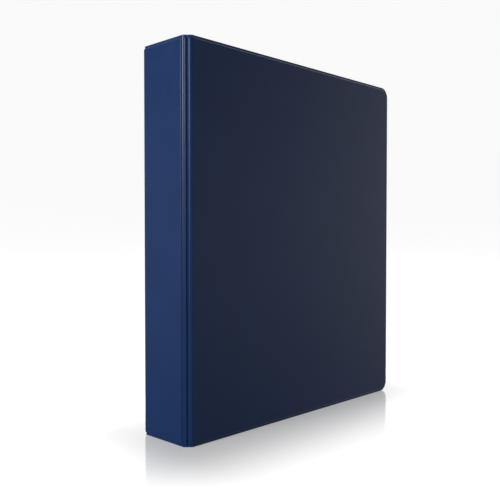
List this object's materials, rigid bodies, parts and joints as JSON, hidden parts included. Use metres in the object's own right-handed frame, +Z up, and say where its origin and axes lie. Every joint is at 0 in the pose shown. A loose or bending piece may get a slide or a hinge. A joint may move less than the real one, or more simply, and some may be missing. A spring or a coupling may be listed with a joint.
{
  "type": "ring binder",
  "caption": "Upright navy ring binder: stiff vinyl-covered boards joined by flexible welded hinges, with a D-ring mechanism inside the back cover.",
  "frame": {"origin": "centre of the bounding box in plan, on the surface that the binder stands on", "axes": "+Z up, spine facing -X, front cover facing -Y, fore edge at +X"},
  "size_m": [0.278, 0.0606, 0.318],
  "materials": {
    "navy_vinyl": "fine-grained satin vinyl sheet",
    "hinge_vinyl": "satin vinyl, welded and flexible",
    "liner_vinyl": "fine-grained matte vinyl sheet",
    "pocket_vinyl": "smooth thin vinyl",
    "greyboard": "rough pressed board",
    "nickel_housing": "bright nickel plate",
    "nickel_wire": "bright nickel plate",
    "nickel_lever": "bright nickel plate",
    "nickel_rivet": "bright nickel plate",
    "zinc_plate": "dull zinc plate"
  },
  "bodies": {
    "spine": {"spine_vinyl": "navy_vinyl", "spine_board": "greyboard", "spine_liner": "liner_vinyl"},
    "front_hinge": {"front_hinge_strip": "hinge_vinyl"},
    "front_cover": {"front_cover_vinyl": "navy_vinyl", "front_cover_board": "greyboard", "front_cover_liner": "liner_vinyl", "front_pocket": "pocket_vinyl"},
    "back_hinge": {"back_hinge_strip": "hinge_vinyl"},
    "back_cover": {"back_cover_vinyl": "navy_vinyl", "back_cover_board": "greyboard", "back_cover_liner": "liner_vinyl", "back_pocket": "pocket_vinyl", "ring_housing": "nickel_housing", "lever_pivot_pins": "zinc_plate", "housing_rivets": "nickel_rivet", "rivet_spacers": "zinc_plate"},
    "spine_side_rings": {"spine_side_carrier_plate": "zinc_plate", "curved_ring_half_1": "nickel_wire", "curved_ring_half_2": "nickel_wire", "curved_ring_half_3": "nickel_wire", "curved_ring_half_4": "nickel_wire"},
    "fore_side_rings": {"fore_side_carrier_plate": "zinc_plate", "straight_ring_half_1": "nickel_wire", "straight_ring_half_2": "nickel_wire", "straight_ring_half_3": "nickel_wire", "straight_ring_half_4": "nickel_wire"},
    "top_lever": {"top_opening_lever": "nickel_lever"},
    "bottom_lever": {"bottom_opening_lever": "nickel_lever"}
  },
  "joints": [
    {"name": "front_spine_fold", "type": "hinge", "parent": "spine", "child": "front_hinge", "pos_m": [-0.1375, -0.0238, 0.159], "axis": [0, 0, -1], "range_deg": [0, 90]},
    {"name": "front_cover_fold", "type": "hinge", "parent": "front_hinge", "child": "front_cover", "pos_m": [-0.1325, -0.0288, 0.159], "axis": [0, 0, -1], "range_deg": [0, 90]},
    {"name": "back_spine_fold", "type": "hinge", "parent": "spine", "child": "back_hinge", "pos_m": [-0.1375, 0.0232, 0.159], "axis": [0, 0, 1], "range_deg": [0, 90]},
    {"name": "back_cover_fold", "type": "hinge", "parent": "back_hinge", "child": "back_cover", "pos_m": [-0.1325, 0.0282, 0.159], "axis": [0, 0, 1], "range_deg": [0, 90]},
    {"name": "top_lever_press", "type": "hinge", "parent": "back_cover", "child": "top_lever", "pos_m": [-0.098, 0.0243, 0.29], "axis": [-1, 0, 0], "range_deg": [0, 20]},
    {"name": "bottom_lever_press", "type": "hinge", "parent": "back_cover", "child": "bottom_lever", "pos_m": [-0.098, 0.0243, 0.028], "axis": [1, 0, 0], "range_deg": [0, 20]},
    {"name": "spine_side_ring_swing", "type": "hinge", "parent": "back_cover", "child": "spine_side_rings", "pos_m": [-0.1075, 0.02445, 0.159], "axis": [0, 0, -1], "range_deg": [0, 11]},
    {"name": "fore_side_ring_swing", "type": "hinge", "parent": "back_cover", "child": "fore_side_rings", "pos_m": [-0.0885, 0.02445, 0.159], "axis": [0, 0, 1], "range_deg": [0, 11]}
  ],
  "couplings": [
    {"joint": "front_cover_fold", "follows": "front_spine_fold", "ratio": 1},
    {"joint": "back_cover_fold", "follows": "back_spine_fold", "ratio": 1},
    {"joint": "bottom_lever_press", "follows": "top_lever_press", "ratio": 1},
    {"joint": "spine_side_ring_swing", "follows": "top_lever_press", "ratio": 0.55},
    {"joint": "fore_side_ring_swing", "follows": "top_lever_press", "ratio": 0.55}
  ]
}
